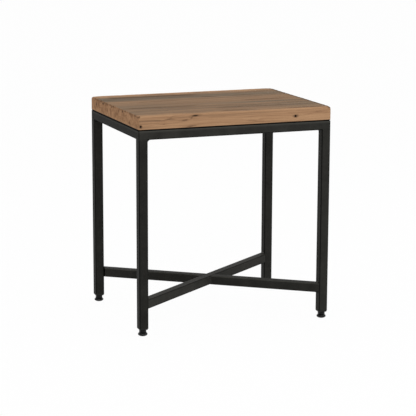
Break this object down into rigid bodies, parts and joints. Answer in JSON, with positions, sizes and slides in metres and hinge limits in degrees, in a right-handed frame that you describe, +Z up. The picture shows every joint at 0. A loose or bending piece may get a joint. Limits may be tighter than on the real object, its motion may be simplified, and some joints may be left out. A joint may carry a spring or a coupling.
{
  "type": "side table",
  "caption": "Small side table: a thick top of reclaimed boards on a black square-tube steel frame with a crossed stretcher and screw-in levelling feet.",
  "frame": {"origin": "on the floor, under the middle of the table", "axes": "+Z up, +X along the long side to the right of someone in front, +Y from front to back"},
  "size_m": [0.5526, 0.4156, 0.5944],
  "materials": {
    "barnwood": "matt",
    "tenon_wood": "matt",
    "black_steel": "satin",
    "zinc_steel": "zinc plated",
    "foot_steel": "black zinc",
    "plug_nylon": "matt",
    "pad_nylon": "gloss"
  },
  "bodies": {
    "frame": {"board_front": "barnwood", "board_second": "barnwood", "board_middle": "barnwood", "board_fourth": "barnwood", "board_back": "barnwood", "edge_tenons": "tenon_wood", "leg_front_left": "black_steel", "leg_front_right": "black_steel", "leg_back_left": "black_steel", "leg_back_right": "black_steel", "rail_front": "black_steel", "rail_right": "black_steel", "rail_back": "black_steel", "rail_left": "black_steel", "stretcher_through": "black_steel", "stretcher_half_left": "black_steel", "stretcher_half_right": "black_steel", "ring_welds": "black_steel", "cross_welds": "black_steel", "stretcher_welds": "black_steel", "top_tab_front_left": "black_steel", "top_tab_front_right": "black_steel", "top_tab_back_left": "black_steel", "top_tab_back_right": "black_steel", "top_screws": "zinc_steel", "leg_plug_front_left": "plug_nylon", "leg_plug_front_right": "plug_nylon", "leg_plug_back_left": "plug_nylon", "leg_plug_back_right": "plug_nylon"},
    "pad_front_left": {"foot_pad_front_left": "pad_nylon"},
    "screw_front_left": {"foot_screw_front_left": "foot_steel"},
    "pad_front_right": {"foot_pad_front_right": "pad_nylon"},
    "screw_front_right": {"foot_screw_front_right": "foot_steel"},
    "pad_back_left": {"foot_pad_back_left": "pad_nylon"},
    "screw_back_left": {"foot_screw_back_left": "foot_steel"},
    "pad_back_right": {"foot_pad_back_right": "pad_nylon"},
    "screw_back_right": {"foot_screw_back_right": "foot_steel"}
  },
  "joints": [
    {"name": "foot_lift_front_left", "type": "slide", "parent": "frame", "child": "pad_front_left", "axis": [0, 0, -1], "range_m": [0, 0.015]},
    {"name": "foot_turn_front_left", "type": "hinge", "parent": "pad_front_left", "child": "screw_front_left", "pos_m": [-0.2633, -0.1948, 0.013], "axis": [0, 0, -1], "range_deg": [0, 4320]},
    {"name": "foot_lift_front_right", "type": "slide", "parent": "frame", "child": "pad_front_right", "axis": [0, 0, -1], "range_m": [0, 0.015]},
    {"name": "foot_turn_front_right", "type": "hinge", "parent": "pad_front_right", "child": "screw_front_right", "pos_m": [0.2633, -0.1948, 0.013], "axis": [0, 0, -1], "range_deg": [0, 4320]},
    {"name": "foot_lift_back_left", "type": "slide", "parent": "frame", "child": "pad_back_left", "axis": [0, 0, -1], "range_m": [0, 0.015]},
    {"name": "foot_turn_back_left", "type": "hinge", "parent": "pad_back_left", "child": "screw_back_left", "pos_m": [-0.2633, 0.1948, 0.013], "axis": [0, 0, -1], "range_deg": [0, 4320]},
    {"name": "foot_lift_back_right", "type": "slide", "parent": "frame", "child": "pad_back_right", "axis": [0, 0, -1], "range_m": [0, 0.015]},
    {"name": "foot_turn_back_right", "type": "hinge", "parent": "pad_back_right", "child": "screw_back_right", "pos_m": [0.2633, 0.1948, 0.013], "axis": [0, 0, -1], "range_deg": [0, 4320]}
  ],
  "couplings": [
    {"joint": "foot_turn_front_left", "follows": "foot_lift_front_left", "rad_per_m": 5026.5},
    {"joint": "foot_turn_front_right", "follows": "foot_lift_front_right", "rad_per_m": 5026.5},
    {"joint": "foot_turn_back_left", "follows": "foot_lift_back_left", "rad_per_m": 5026.5},
    {"joint": "foot_turn_back_right", "follows": "foot_lift_back_right", "rad_per_m": 5026.5}
  ]
}
